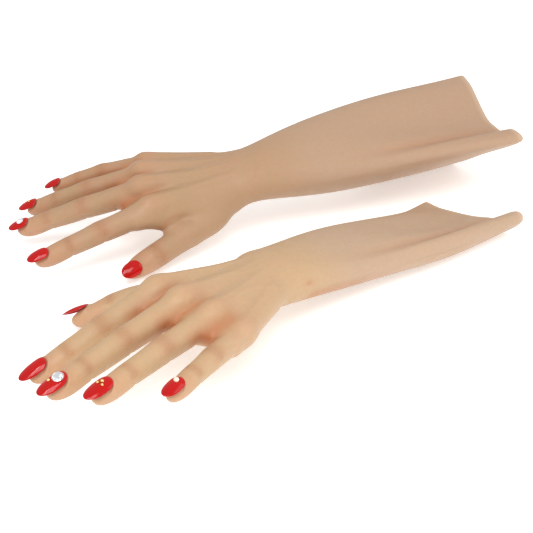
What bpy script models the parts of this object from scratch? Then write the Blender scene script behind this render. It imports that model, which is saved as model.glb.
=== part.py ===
"""A matched left and right pair of hollow cosmetic prosthetic hands with forearm sleeves.

Lengths are in millimetres and angles in degrees, and each mesh is turned into metres as it is made.
A hand's own frame has its origin at the wrist, +X towards the fingertips and +Z out of the back of
the hand. The right hand has its thumb at +Y, and the left hand is its mirror image.
"""

import math

import bmesh
import bpy
import numpy as np
from mathutils import Matrix, Vector

MM = 0.001
GAP = 0.4
SHARP_ANGLE = 40
MIRROR = {"left": -1, "right": 1}

# Walls of the cast silicone. The nail plates' thickness, their lift off the skin, their dip at the
# point, the flare of their upper face, and how far behind the cuticle their origin lies.
FINGER_WALL = 2.0
PALM_WALL = 2.4
SLEEVE_WALL = 2.6
NAIL_THICKNESS = 0.8
NAIL_LIFT = 0.4
NAIL_DIP = 1.6
NAIL_FLARE = 1.04
NAIL_SETBACK = 8

# Wrist section and the free travel that the flexures leave, in degrees.
WRIST_HALF = (24.0, 16.5)
WRIST_TRAVEL = 21
ROOT_TRAVEL = 36
ROOT_BACK_TRAVEL = 11
TIP_TRAVEL = 46
TIP_BACK_TRAVEL = 1

# The distance from a knuckle to the web, where a finger leaves the palm.
WEB = 20
PALM_RIM = 2.6
THUMB_RIM = 2.0
THUMB_CLEARANCE = 0.9

# How far the palm's hollow core runs past each of its ends, as a share of its length.
CORE_OVERRUN = 0.06

# For each finger: knuckle place in the hand, phalanx lengths, then half-widths and half-heights
# at the web, at the middle joint and at the end joint.
FINGERS = {
    "index": {"knuckle": (77, 24, 2), "bones": (40, 24, 24.5), "wide": (8.3, 8.0, 7.0), "high": (8.0, 7.5, 6.4)},
    "middle": {"knuckle": (79, 4, 4), "bones": (44, 27, 24.5), "wide": (8.4, 8.1, 7.1), "high": (8.2, 7.7, 6.5)},
    "ring": {"knuckle": (74, -15, 2), "bones": (41, 26, 24.5), "wide": (7.8, 7.6, 6.7), "high": (7.8, 7.3, 6.2)},
    "little": {"knuckle": (67, -32, -3), "bones": (33, 19, 22.5), "wide": (6.8, 6.6, 5.9), "high": (6.8, 6.4, 5.5)},
}
THUMB = {"bones": (40, 31, 26.5), "wide": (9.6, 8.8, 7.8), "high": (9.4, 8.6, 6.9)}
THUMB_BASE = {"right": (18, 19, -9), "left": (22, 20, -7)}
THUMB_ROLL = 30

# Nails: half-width, and how far the plate starts behind and ends beyond the fingertip.
NAILS = {
    "thumb": {"half": 5.9, "bed": 13.0, "free": 4.5},
    "index": {"half": 5.2, "bed": 13.0, "free": 5.0},
    "middle": {"half": 5.4, "bed": 13.5, "free": 5.0},
    "ring": {"half": 5.1, "bed": 13.0, "free": 5.0},
    "little": {"half": 4.5, "bed": 11.5, "free": 4.5},
}

# The pose that the pair lies in: wrist place, forearm yaw, pitch and roll, hand flex and deviation,
# then splay, knuckle, middle and end joint angles of each finger, and the thumb's angles.
POSES = {
    "right": {
        "wrist": (6.2, 59.5, 42),
        "forearm": (-7.2, 2.6, -15.4),
        "hand": (0.4, -7.8),
        "index": (15.0, 5.3, 2.4, 1.5),
        "middle": (-11.0, 19.9, 2.5, 1.5),
        "ring": (-14.1, 19.7, 4.4, 2.2),
        "little": (-13.9, 12.4, 9.2, 4.6),
        "thumb": (27.7, 5.5, 1.0, 2.0),
    },
    "left": {
        "wrist": (-52.8, -60.5, 30.5),
        "forearm": (8.9, -7.8, -3.5),
        "hand": (-1.3, 9.2),
        "index": (13.0, 25.4, 2.5, 1.5),
        "middle": (4.5, 17.1, 2.4, 1.5),
        "ring": (-0.3, 10.9, 2.4, 1.5),
        "little": (-9.8, 4.1, 2.4, 1.5),
        "thumb": (51.5, 22.5, 4.0, 8.0),
    },
}

# Sleeve outlines: how far from the wrist, then (across, up, extra length) for eight points that go
# round from the near edge over the top to the far edge and back along the underside.
SLEEVES = {
    "right": [
        (70, [
            (-31, 38, 0), (-24, 51, 0), (-2, 62, 0), (24, 68, 0),
            (37, 57, 0), (32, 36, 0), (8, 23, 0), (-20, 24, 0),
        ]),
        (140, [
            (-39, 42, 0), (-32, 52, 0), (-6, 58, 0), (28, 73, 0),
            (44, 62, 0), (46, 20, 0), (35, -1, 0), (-16, 23, 0),
        ]),
        (210, [
            (-42, 45, 6), (-35, 53, 3), (-8, 51, 1), (30, 72, 6),
            (45, 69, 5), (49, 20, 0), (40, -2, 0), (-8, 24, 3),
        ]),
    ],
    "left": [
        (70, [
            (-27, 20, 0), (-21, 30, 0), (-2, 34, 0), (17, 31, 0),
            (25, 20, 0), (20, 8, 0), (0, 4, 0), (-19, 9, 0),
        ]),
        (140, [
            (-34, 14, 0), (-29, 23, 0), (-10, 22, 0), (15, 23, 0),
            (27, 15, 0), (23, 2, 0), (0, -2, 0), (-25, 3, 0),
        ]),
        (205, [
            (-38, 12, 9), (-33, 19, 7), (-12, 11, -4), (14, 13, -17),
            (29, 14, -20), (25, 1, -12), (0, -2, 0), (-27, 2, 7),
        ]),
    ],
}

RING = {"sleeve": 36, "palm": 32, "thenar": 20, "digit": 14}

COLOURS = {
    "left_skin": ((0.66, 0.45, 0.29, 1), 0.5, 0.0),
    "right_skin": ((0.60, 0.40, 0.26, 1), 0.5, 0.0),
    "nail": ((0.72, 0.02, 0.015, 1), 0.12, 0.0),
    "rhinestone": ((0.85, 0.87, 0.90, 1), 0.05, 0.0),
    "gold": ((0.86, 0.62, 0.25, 1), 0.25, 1.0),
    "pearl": ((0.90, 0.86, 0.80, 1), 0.2, 0.0),
}


def clear_scene():
    for item in list(bpy.data.objects):
        bpy.data.objects.remove(item, do_unlink=True)


def make_material(name):
    colour, roughness, metallic = COLOURS[name]
    material = bpy.data.materials.new(name)
    material.use_nodes = True
    shader = material.node_tree.nodes["Principled BSDF"]
    shader.inputs["Base Color"].default_value = colour
    shader.inputs["Roughness"].default_value = roughness
    shader.inputs["Metallic"].default_value = metallic
    return material


def turn(axis, degrees):
    return Matrix.Rotation(math.radians(degrees), 4, axis)


def slope(degrees):
    return math.tan(math.radians(degrees))


def add_object(name, points, faces, frame, material):
    """Make one closed body from points in millimetres in its own frame, and place it by that frame."""
    mesh = bpy.data.meshes.new(name)
    mesh.from_pydata([tuple(float(value) * MM for value in point) for point in points], [], faces)
    body = bmesh.new()
    body.from_mesh(mesh)
    bmesh.ops.recalc_face_normals(body, faces=body.faces)
    body.to_mesh(mesh)
    body.free()
    mesh.shade_smooth()
    mesh.set_sharp_from_angle(angle=math.radians(SHARP_ANGLE))
    mesh.materials.append(material)
    item = bpy.data.objects.new(name, mesh)
    place = frame.copy()
    place.translation = frame.translation * MM
    item.matrix_world = place
    bpy.context.scene.collection.objects.link(item)
    return item


def strip_faces(rings, around, first=0):
    """Quads between neighbouring rings of one grid of points."""
    faces = []
    for row in range(rings - 1):
        for column in range(around):
            after = (column + 1) % around
            low = first + row * around
            high = low + around
            faces.append((low + column, low + after, high + after, high + column))
    return faces


def fan_faces(ring_start, around, pole):
    return [(ring_start + column, ring_start + (column + 1) % around, pole) for column in range(around)]


def shell(name, outer, inner, frame, material, closed_end=None):
    """A hollow body: an outer and an inner grid of rings, joined at the open ends.

    closed_end is the pair of pole points (outer, inner) where the far end is closed.
    """
    rings, around = outer.shape[:2]
    second = rings * around
    points = list(outer.reshape(-1, 3)) + list(inner.reshape(-1, 3))
    faces = strip_faces(rings, around) + strip_faces(rings, around, second)
    ends = [0] if closed_end is not None else [0, rings - 1]
    for row in ends:
        for column in range(around):
            after = (column + 1) % around
            edge = row * around
            faces.append((edge + column, edge + after, second + edge + after, second + edge + column))
    if closed_end is not None:
        last = (rings - 1) * around
        points += [closed_end[0], closed_end[1]]
        faces += fan_faces(last, around, len(points) - 2)
        faces += fan_faces(second + last, around, len(points) - 1)
    return add_object(name, points, faces, frame, material)


def solid(name, rings_of_points, frame, material):
    """A closed loft through rings of points, with a flat fan over each end."""
    rings, around = rings_of_points.shape[:2]
    first_middle = rings_of_points[0].mean(axis=0)
    last_middle = rings_of_points[-1].mean(axis=0)
    points = list(rings_of_points.reshape(-1, 3)) + [first_middle, last_middle]
    faces = strip_faces(rings, around)
    faces += fan_faces(0, around, rings * around)
    faces += fan_faces((rings - 1) * around, around, rings * around + 1)
    return add_object(name, points, faces, frame, material)


def oval(around, wide, high, squareness=1.0):
    """Points round a superellipse in the YZ plane, starting at +Y."""
    angles = np.linspace(0, 2 * np.pi, around, endpoint=False)
    side = np.sign(np.cos(angles)) * np.abs(np.cos(angles)) ** squareness
    rise = np.sign(np.sin(angles)) * np.abs(np.sin(angles)) ** squareness
    return np.stack([np.zeros(around), wide * side, high * rise], axis=1)


def digit_rings(sections, around, palm_cut, back_cut, bend_at=None, bend=0.0):
    """Rings along +X for one digit segment, the first cut back for the joint's travel.

    sections is a list of (x, half-width, half-height). The first ring leans away from the joint by
    palm_cut degrees below the axis and by back_cut degrees above it. Beyond bend_at the axis turns
    down by bend degrees.
    """
    rings = []
    for number, (reach, wide, high) in enumerate(sections):
        ring = oval(around, wide, high)
        if number == 0:
            lean = np.where(ring[:, 2] < 0, slope(palm_cut), slope(back_cut))
            ring[:, 0] = np.abs(ring[:, 2]) * lean
        ring[:, 0] += reach
        if bend_at is not None and reach > bend_at:
            angle = math.radians(bend)
            along = ring[:, 0] - bend_at
            ring[:, 0], ring[:, 2] = (
                bend_at + along * math.cos(angle) + ring[:, 2] * math.sin(angle),
                -along * math.sin(angle) + ring[:, 2] * math.cos(angle),
            )
        rings.append(ring)
    return np.array(rings)


def thinner(sections, wall):
    return [(reach, wide - wall, high - wall) for reach, wide, high in sections]


def root_segment(name, frame, length, digit, material, side_turn=0.0):
    """The hollow length between two joints. side_turn is the next segment's sideways angle."""
    wide, high = digit["wide"], digit["high"]
    end_gap = GAP + wide[1] * slope(abs(side_turn))
    sections = [
        (GAP, wide[0], high[0]),
        (0.55 * length, (wide[0] + wide[1]) / 2 - 0.15, (high[0] + high[1]) / 2 - 0.15),
        (length - end_gap, wide[1], high[1]),
    ]
    outer = digit_rings(sections, RING["digit"], ROOT_TRAVEL, ROOT_BACK_TRAVEL)
    inner = digit_rings(thinner(sections, FINGER_WALL), RING["digit"], ROOT_TRAVEL, ROOT_BACK_TRAVEL)
    shell(name, outer, inner, frame, material)


def tip_segment(name, frame, middle, end, bends, digit, material):
    """The hollow, closed end of a digit. middle is the length before the last joint, end after it.

    bends are the angles that the digit already lies at, at this segment's joint and at the last one.
    """
    joint_bend, bend = bends
    wide, high = digit["wide"], digit["high"]
    dome = [(0.40, 0.99), (0.66, 0.92), (0.84, 0.74), (0.95, 0.44)]
    sections = [(GAP, wide[1], high[1])]
    if middle > 0:
        sections.append((0.55 * middle, (wide[1] + wide[2]) / 2, (high[1] + high[2]) / 2))
        sections.append((middle, wide[2], high[2]))
    else:
        sections.append((0.3 * end, wide[2] + 0.2, (high[1] + high[2]) / 2))
    outside = [(middle + part * end, scale * wide[2], scale * high[2]) for part, scale in dome]
    hollow = [
        (middle + part * (end - FINGER_WALL), scale * (wide[2] - FINGER_WALL), scale * (high[2] - FINGER_WALL))
        for part, scale in dome
    ]
    if middle == 0:
        outside = outside[1:]
        hollow = hollow[1:]
    cuts = (TIP_TRAVEL + joint_bend, TIP_BACK_TRAVEL, middle, bend)
    outer = digit_rings(sections + outside, RING["digit"], *cuts)
    inner = digit_rings(thinner(sections, FINGER_WALL) + hollow, RING["digit"], *cuts)
    angle = math.radians(bend)
    poles = [
        (middle + reach * math.cos(angle), 0, -reach * math.sin(angle))
        for reach in (end, end - FINGER_WALL)
    ]
    shell(name, outer, inner, frame, material, poles)


def nail_outline(part):
    """Half-width of an almond nail, as a share of its widest, from cuticle (0) to point (1)."""
    root = np.clip(part / 0.34, 0, 1)
    point = np.clip((part - 0.42) / 0.58, 0, 1)
    return np.sqrt(np.clip(1 - (1 - root) ** 2.2, 0.03, 1)) * np.sqrt(np.clip(1 - point ** 2.1, 0.02, 1))


def nail(name, frame, reach, bend, digit, size, material):
    """A curved plate over the end of a digit, a few tenths of a millimetre above the skin.

    reach is where the fingertip ends, along the digit. The plate follows the digit's own oval
    across and dips slightly towards its point.
    """
    rows, columns = 9, 7
    part = np.linspace(0, 1, rows)[:, None]
    across = np.linspace(-1, 1, columns)[None, :]
    length = size["bed"] + size["free"]
    half = size["half"] * nail_outline(part)
    side = half * across
    wide = digit["wide"][2] + NAIL_LIFT
    high = digit["high"][2] + NAIL_LIFT
    crown = high * np.sqrt(1 - (side / wide) ** 2)
    dip = NAIL_DIP * part ** 2
    along = reach - size["bed"] + part * length + 0 * across
    low = np.stack([along, side, crown - dip], axis=2)
    top = low + np.array([0, 0, NAIL_THICKNESS])
    top[:, :, 1] *= NAIL_FLARE
    count = rows * columns
    points = np.concatenate([low.reshape(-1, 3), top.reshape(-1, 3)])
    faces = []
    for row in range(rows - 1):
        for column in range(columns - 1):
            corner = row * columns + column
            quad = (corner, corner + 1, corner + columns + 1, corner + columns)
            faces.append(quad)
            faces.append(tuple(index + count for index in quad))
    border = list(range(columns))
    border += [row * columns + columns - 1 for row in range(1, rows)]
    border += [(rows - 1) * columns + column for column in range(columns - 2, -1, -1)]
    border += [row * columns for row in range(rows - 2, 0, -1)]
    for number, start in enumerate(border):
        after = border[(number + 1) % len(border)]
        faces.append((start, after, after + count, start + count))
    origin = reach - size["bed"] - NAIL_SETBACK
    place = frame @ Matrix.Translation((origin, 0, 0))
    points[:, 0] -= origin
    add_object(name, points, faces, place @ turn("Y", bend), material)


def gem(name, frame, radius, height, material):
    """A cut stone: a wide girdle with a flat table above it."""
    around = 12
    rings = []
    for rise, share in ((0.0, 0.86), (0.35, 1.0), (1.0, 0.55)):
        ring = oval(around, radius * share, radius * share)[:, [1, 2, 0]]
        ring[:, 2] = rise * height
        rings.append(ring)
    solid(name, np.array(rings), frame, material)


def bead(name, frame, radius, material):
    around = 10
    rings = []
    for angle in np.radians([-66, -33, 0, 33, 66]):
        ring = oval(around, radius * math.cos(angle), radius * math.cos(angle))[:, [1, 2, 0]]
        ring[:, 2] = radius * math.sin(angle)
        rings.append(ring)
    solid(name, np.array(rings), frame, material)


def palm_grid(side, hand_deviation, frames, inset, stretch):
    """Rings of the palm from the wrist to the webs.

    The half-width, the half-height and the middle height run smoothly from the wrist's oval to
    the row of finger roots, and the far end follows those roots. inset thins it for the hollow.
    """
    mirror = MIRROR[side]
    to_hand = frames["hand"].inverted()
    roots = [to_hand @ frames[finger]["root"] for finger in FINGERS]
    order = np.argsort([mirror * root.translation.y for root in roots])
    place = np.array([mirror * roots[i].translation.y for i in order])
    reach = np.array([roots[i].translation.x for i in order]) - PALM_RIM
    height = np.array([roots[i].translation.z for i in order])
    lean = np.array([-roots[i].col[0].z / roots[i].col[0].x for i in order])
    thick = np.array([list(FINGERS.values())[i]["high"][0] for i in order]) + 0.6
    low_edge = place[0] - FINGERS["little"]["wide"][0] - 0.6
    high_edge = place[-1] + FINGERS["index"]["wide"][0] + 0.6

    stations = np.array([0, 0.12, 0.3, 0.5, 0.7, 0.86, 1.0])
    half_end = (high_edge - low_edge) / 2
    half = np.interp(stations, [0, 0.15, 0.5, 0.75, 1], [WRIST_HALF[0], 24.6, 32.5, 37.2, half_end])
    middle = (high_edge + low_edge) / 2 * stations ** 1.3
    deep = np.interp(stations, [0, 0.3, 0.6, 0.85, 1], [WRIST_HALF[1], 14.5, 13.0, 11.0, 9.0])
    stations = stations * (1 + 2 * stretch) - stretch if stretch else stations
    rings = []
    for share, wide, centre, tall in zip(stations, half, middle, deep):
        blend = min(max(share, 0), 1)
        ring = oval(RING["palm"], wide - inset, 1.0, 1.0 - 0.3 * blend)
        across = centre + ring[:, 1]
        end_height = np.interp(across, place, height)
        end_thick = np.interp(across, place, thick) / np.max(thick) * tall
        tallness = tall + (end_thick - tall) * blend ** 3 - inset
        rise = ring[:, 2] * tallness
        level = end_height * (3 * blend ** 2 - 2 * blend ** 3)
        far = np.interp(across, place, reach) + rise * np.interp(across, place, lean)
        start = across * mirror * slope(hand_deviation) + GAP + np.abs(rise) * slope(WRIST_TRAVEL)
        along = start + (far - start) * share
        rings.append(np.stack([along, mirror * across, rise + level], axis=1))
    return np.array(rings)


def palm(side, frames, material):
    """The hollow palm with the thumb's root let into it, cut by two hollow cores."""
    deviation = POSES[side]["hand"][1]
    name = side + "_palm"
    body = solid(name, palm_grid(side, deviation, frames, 0, 0), frames["hand"], material)
    core = solid(name + "_core", palm_grid(side, deviation, frames, PALM_WALL, CORE_OVERRUN), frames["hand"], material)
    bone = THUMB["bones"][0]
    mound = [(4, 6.0, 5.5), (12, 9.8, 9.4), (22, 11.0, 10.8), (bone - 9, 10.4, 10.2), (bone - THUMB_RIM, 9.8, 9.4)]
    cavity = thinner(mound[1:], PALM_WALL)
    cavity.append((bone + 3, THUMB["wide"][0] - FINGER_WALL, THUMB["high"][0] - FINGER_WALL))
    mound_body = solid(name + "_mound", plain_rings(mound), frames["thumb"]["base"], material)
    mound_core = solid(name + "_mound_core", plain_rings(cavity), frames["thumb"]["base"], material)
    groove = [
        solid(name + label, plain_rings(thumb_groove(extra)), frames["thumb"]["root"], material)
        for label, extra in (("_groove", THUMB_CLEARANCE), ("_groove_wall", THUMB_CLEARANCE + PALM_WALL))
    ]
    cut_with(core, groove[1], "DIFFERENCE")
    cut_with(body, mound_body, "UNION")
    cut_with(body, groove[0], "DIFFERENCE")
    cut_with(body, core, "DIFFERENCE")
    cut_with(body, mound_core, "DIFFERENCE")
    return body


def thumb_groove(extra):
    """The room that the thumb needs beside the palm, from just behind its root to beyond its tip."""
    start = -THUMB_RIM / 2
    end = sum(THUMB["bones"][1:])
    return [(reach, THUMB["wide"][0] + extra, THUMB["high"][0] + extra) for reach in (start, end)]


def cut_with(body, tool, operation):
    cut = body.modifiers.new(tool.name, "BOOLEAN")
    cut.object = tool
    cut.operation = operation
    cut.solver = "EXACT"
    tool.hide_render = True
    tool.display_type = "WIRE"


def plain_rings(sections):
    rings = []
    for reach, wide, high in sections:
        ring = oval(RING["thenar"], wide, high)
        ring[:, 0] = reach
        rings.append(ring)
    return np.array(rings)


def smooth_through(values, samples, closed):
    """A Catmull-Rom curve through rows of values, sampled evenly in its parameter."""
    count = len(values)
    spans = count if closed else count - 1
    at = np.linspace(0, spans, samples, endpoint=not closed)
    span = np.minimum(at.astype(int), spans - 1)
    part = (at - span).reshape((-1,) + (1,) * (values.ndim - 1))
    if closed:
        corners = [values[(span + shift) % count] for shift in (-1, 0, 1, 2)]
    else:
        padded = np.concatenate([[2 * values[0] - values[1]], values, [2 * values[-1] - values[-2]]])
        corners = [padded[span + shift] for shift in (0, 1, 2, 3)]
    before, start, end, after = corners
    return 0.5 * (
        2 * start
        + (end - before) * part
        + (2 * before - 5 * start + 4 * end - after) * part ** 2
        + (3 * start - before - 3 * end + after) * part ** 3
    )


def sleeve_grid(side, frames):
    """World points of the sleeve's outside, from the wrist's oval to the cuff's outline."""
    wrist = np.array(frames["forearm"].translation)
    yaw = math.radians(POSES[side]["forearm"][0])
    along = np.array([math.cos(yaw), math.sin(yaw), 0])
    across = np.array([-along[1], along[0], 0])
    # The near edge is the thumb's side on the right hand and the little finger's on the left.
    angles = np.radians([180, 135, 90, 45, 0, -45, -90, -135])
    corner = [
        Vector((-GAP, -WRIST_HALF[0] * math.cos(angle), WRIST_HALF[1] * math.sin(angle))) for angle in angles
    ]
    outlines = [[frames["forearm"] @ point for point in corner]]
    for distance, outline in SLEEVES[side]:
        outlines.append(
            [
                wrist * (1, 1, 0) + along * (distance + extra) + across * shift + np.array([0, 0, rise])
                for shift, rise, extra in outline
            ]
        )
    outlines = np.array([[tuple(point) for point in outline] for outline in outlines])
    grid = smooth_through(outlines, 10, False)
    grid = smooth_through(grid.transpose(1, 0, 2), RING["sleeve"], True).transpose(1, 0, 2)
    grid[1:, :, 2] = np.maximum(grid[1:, :, 2], 0)
    return grid, along


def sleeve(side, frames, material):
    """The hollow forearm sleeve. Its lower wall lies flat where it meets the table."""
    outer, along = sleeve_grid(side, frames)
    step = np.roll(outer, -1, axis=1) - np.roll(outer, 1, axis=1)
    normal = np.cross(step, np.broadcast_to(along, step.shape))
    normal /= np.linalg.norm(normal, axis=2, keepdims=True)
    middle = outer.mean(axis=1, keepdims=True)
    facing = np.sign(np.sum(normal * (outer - middle), axis=(1, 2), keepdims=True))
    inner = outer - facing * normal * SLEEVE_WALL
    back = frames["forearm"].inverted()
    grids = [
        np.array([[tuple(back @ Vector(point)) for point in ring] for ring in grid])
        for grid in (outer, inner)
    ]
    shell(side + "_forearm_sleeve", grids[0], grids[1], frames["forearm"], material)


def hand_frames(side):
    """Every joint's frame, in the object's own frame, from the pose's angles."""
    pose = POSES[side]
    mirror = MIRROR[side]
    yaw, pitch, roll = pose["forearm"]
    flex, deviation = pose["hand"]
    forearm = Matrix.Translation(pose["wrist"]) @ turn("Z", 180 + yaw) @ turn("Y", pitch) @ turn("X", roll)
    hand = forearm @ turn("Y", flex) @ turn("Z", deviation)
    frames = {"forearm": forearm, "hand": hand}
    for finger, digit in FINGERS.items():
        splay, knuckle, middle, _ = pose[finger]
        x, y, z = digit["knuckle"]
        base = hand @ Matrix.Translation((x, mirror * y, z)) @ turn("Z", mirror * splay) @ turn("Y", knuckle)
        frames[finger] = {
            "root": base @ Matrix.Translation((WEB, 0, 0)),
            "tip": base @ Matrix.Translation((digit["bones"][0], 0, 0)) @ turn("Y", middle),
        }
    swing, lower, root_turn, tip_turn = pose["thumb"]
    x, y, z = THUMB_BASE[side]
    base = hand @ Matrix.Translation((x, mirror * y, z)) @ turn("Z", mirror * swing) @ turn("Y", lower)
    root = base @ Matrix.Translation((THUMB["bones"][0], 0, 0)) @ turn("Z", -mirror * root_turn)
    tip = root @ Matrix.Translation((THUMB["bones"][1], 0, 0)) @ turn("Z", -mirror * tip_turn)
    roll = turn("X", -mirror * THUMB_ROLL)
    frames["thumb"] = {"base": base @ roll, "root": root @ roll, "tip": tip @ roll}
    return frames


def ornaments(side, frames, materials):
    """Stones and beads that sit on some of the nails, given from the nail's cuticle end."""
    layout = {
        "left": [
            ("middle", "left_middle_rhinestone", "rhinestone", 5.0, 0.6, 3.0),
            ("middle", "left_middle_gold_bead", "gold", 10.0, -2.4, 0.9),
            ("ring", "left_ring_gold_bead_1", "gold", 5.5, 0.0, 1.0),
            ("ring", "left_ring_gold_bead_2", "gold", 7.2, 1.5, 0.8),
            ("ring", "left_ring_gold_bead_3", "gold", 7.4, -1.3, 0.8),
            ("little", "left_little_pearl_bead", "pearl", 5.0, 0.0, 1.4),
        ],
        "right": [
            ("middle", "right_middle_rhinestone", "rhinestone", 5.5, 0.0, 2.4),
            ("ring", "right_ring_gold_bead", "gold", 5.0, 0.0, 0.9),
        ],
    }
    for finger, name, finish, behind, aside, radius in layout[side]:
        digit = FINGERS[finger]
        middle, end = digit["bones"][1:]
        wide = digit["wide"][2] + NAIL_LIFT
        crown = (digit["high"][2] + NAIL_LIFT) * math.sqrt(1 - (aside / wide) ** 2)
        start = middle + end - NAILS[finger]["bed"] + behind
        bend = POSES[side][finger][3]
        level = crown + NAIL_THICKNESS + NAIL_LIFT
        frame = nail_place(frames[finger]["tip"], start, bend, aside, level)
        if finish == "rhinestone":
            gem(name, frame, radius, 0.7 * radius, materials[finish])
        else:
            bead(name, frame @ Matrix.Translation((0, 0, radius)), radius, materials[finish])


def nail_place(frame, along, bend, aside, level):
    return frame @ Matrix.Translation((along, aside, level)) @ turn("Y", bend)


def build_hand(side, materials):
    frames = hand_frames(side)
    skin = materials[side + "_skin"]
    sleeve(side, frames, skin)
    palm(side, frames, skin)
    for finger, digit in FINGERS.items():
        first, middle, end = digit["bones"]
        root = frames[finger]["root"]
        tip = frames[finger]["tip"]
        bends = POSES[side][finger][2:]
        root_segment(f"{side}_{finger}_root", root, first - WEB, digit, skin)
        tip_segment(f"{side}_{finger}_tip", tip, middle, end, bends, digit, skin)
        nail(f"{side}_{finger}_nail", tip, middle + end, bends[1], digit, NAILS[finger], materials["nail"])
    root = frames["thumb"]["root"]
    tip = frames["thumb"]["tip"]
    side_turn = POSES[side]["thumb"][3]
    root_segment(f"{side}_thumb_root", root, THUMB["bones"][1], THUMB, skin, side_turn)
    tip_segment(f"{side}_thumb_tip", tip, 0, THUMB["bones"][2], (0, 0), THUMB, skin)
    nail(f"{side}_thumb_nail", tip, THUMB["bones"][2], 0, THUMB, NAILS["thumb"], materials["nail"])
    ornaments(side, frames, materials)


def main():
    clear_scene()
    materials = {name: make_material(name) for name in COLOURS}
    for side in MIRROR:
        build_hand(side, materials)


main()
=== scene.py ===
"""The finished surfaces and looks of a matched pair of hollow cosmetic hands with forearm sleeves.

Lengths are in millimetres and angles in degrees; make_piece turns them into metres. A hand's own
frame has its origin at the wrist, +X towards the fingertips and +Z out of the back of the hand.
"""

import math

import bmesh
import bpy
import numpy as np
from mathutils import Matrix, Vector


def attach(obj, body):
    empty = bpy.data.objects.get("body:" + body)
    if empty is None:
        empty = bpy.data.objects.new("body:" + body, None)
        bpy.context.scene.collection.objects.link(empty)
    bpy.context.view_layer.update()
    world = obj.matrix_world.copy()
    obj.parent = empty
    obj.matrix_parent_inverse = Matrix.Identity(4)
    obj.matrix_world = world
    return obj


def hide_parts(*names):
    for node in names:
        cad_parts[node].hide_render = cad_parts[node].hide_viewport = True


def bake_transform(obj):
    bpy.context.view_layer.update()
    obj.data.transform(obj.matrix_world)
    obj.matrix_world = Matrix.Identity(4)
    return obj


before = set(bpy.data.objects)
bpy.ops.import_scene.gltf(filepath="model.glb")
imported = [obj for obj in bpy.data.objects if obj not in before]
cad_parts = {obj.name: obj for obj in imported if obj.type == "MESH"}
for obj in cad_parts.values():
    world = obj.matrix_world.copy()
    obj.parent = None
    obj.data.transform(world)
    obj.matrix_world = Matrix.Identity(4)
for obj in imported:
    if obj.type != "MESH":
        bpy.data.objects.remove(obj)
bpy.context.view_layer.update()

MM = 0.001
MIRROR = {"left": -1, "right": 1}
SKIN_STEP = 0.9

# ---- Driving sizes of the hands, as in the part ----

WRIST_HALF = (24.0, 16.5)
WEB = 20
THUMB_ROLL = 30
SLEEVE_WALL = 2.6

# Phalanx lengths, then half-widths and half-heights at the root, the middle joint and the end joint.
DIGITS = {
    "index": {"bones": (40, 24, 24.5), "wide": (8.3, 8.0, 7.0), "high": (8.0, 7.5, 6.4)},
    "middle": {"bones": (44, 27, 24.5), "wide": (8.4, 8.1, 7.1), "high": (8.2, 7.7, 6.5)},
    "ring": {"bones": (41, 26, 24.5), "wide": (7.8, 7.6, 6.7), "high": (7.8, 7.3, 6.2)},
    "little": {"bones": (33, 19, 22.5), "wide": (6.8, 6.6, 5.9), "high": (6.8, 6.4, 5.5)},
    "thumb": {"bones": (40, 31, 26.5), "wide": (9.6, 8.8, 7.8), "high": (9.4, 8.6, 6.9)},
}
KNUCKLES = {"index": (77, 24, 2), "middle": (79, 4, 4), "ring": (74, -15, 2), "little": (67, -32, -3)}
THUMB_BASE = {"right": (18, 19, -9), "left": (22, 20, -7)}

NAILS = {
    "thumb": {"half": 5.9, "bed": 13.0, "free": 4.5},
    "index": {"half": 5.2, "bed": 13.0, "free": 5.0},
    "middle": {"half": 5.4, "bed": 13.5, "free": 5.0},
    "ring": {"half": 5.1, "bed": 13.0, "free": 5.0},
    "little": {"half": 4.5, "bed": 11.5, "free": 4.5},
}
# The right hand's nails are a little smaller than the left hand's.
NAIL_SHARE = {
    "right": {"half": 0.92, "bed": 0.83, "free": 0.92},
    "left": {"half": 1.0, "bed": 1.0, "free": 1.0},
}
NAIL_THICKNESS = 1.0
NAIL_LIFT = 0.4
NAIL_DIP = 1.6
NAIL_ARCH = 0.5
NAIL_REST = 0.25
NAIL_WIDEST = 0.34

# Wrist place, forearm yaw, pitch and roll, hand flex and deviation, then splay, knuckle, middle and
# end joint angles of each finger, and the thumb's swing, droop and turns.
POSES = {
    "right": {
        "wrist": (6.2, 59.5, 42),
        "forearm": (-7.2, 2.6, -15.4),
        "hand": (0.4, -7.8),
        "index": (15.0, 5.3, 2.4, 1.5),
        "middle": (-11.0, 19.9, 2.5, 1.5),
        "ring": (-14.1, 19.7, 4.4, 2.2),
        "little": (-13.9, 12.4, 9.2, 4.6),
        "thumb": (27.7, 5.5, 1.0, 2.0),
    },
    "left": {
        "wrist": (-52.8, -60.5, 30.5),
        "forearm": (8.9, -7.8, -3.5),
        "hand": (-1.3, 9.2),
        "index": (13.0, 25.4, 2.5, 1.5),
        "middle": (4.5, 17.1, 2.4, 1.5),
        "ring": (-0.3, 10.9, 2.4, 1.5),
        "little": (-9.8, 4.1, 2.4, 1.5),
        "thumb": (51.5, 22.5, 4.0, 8.0),
    },
}

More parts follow.
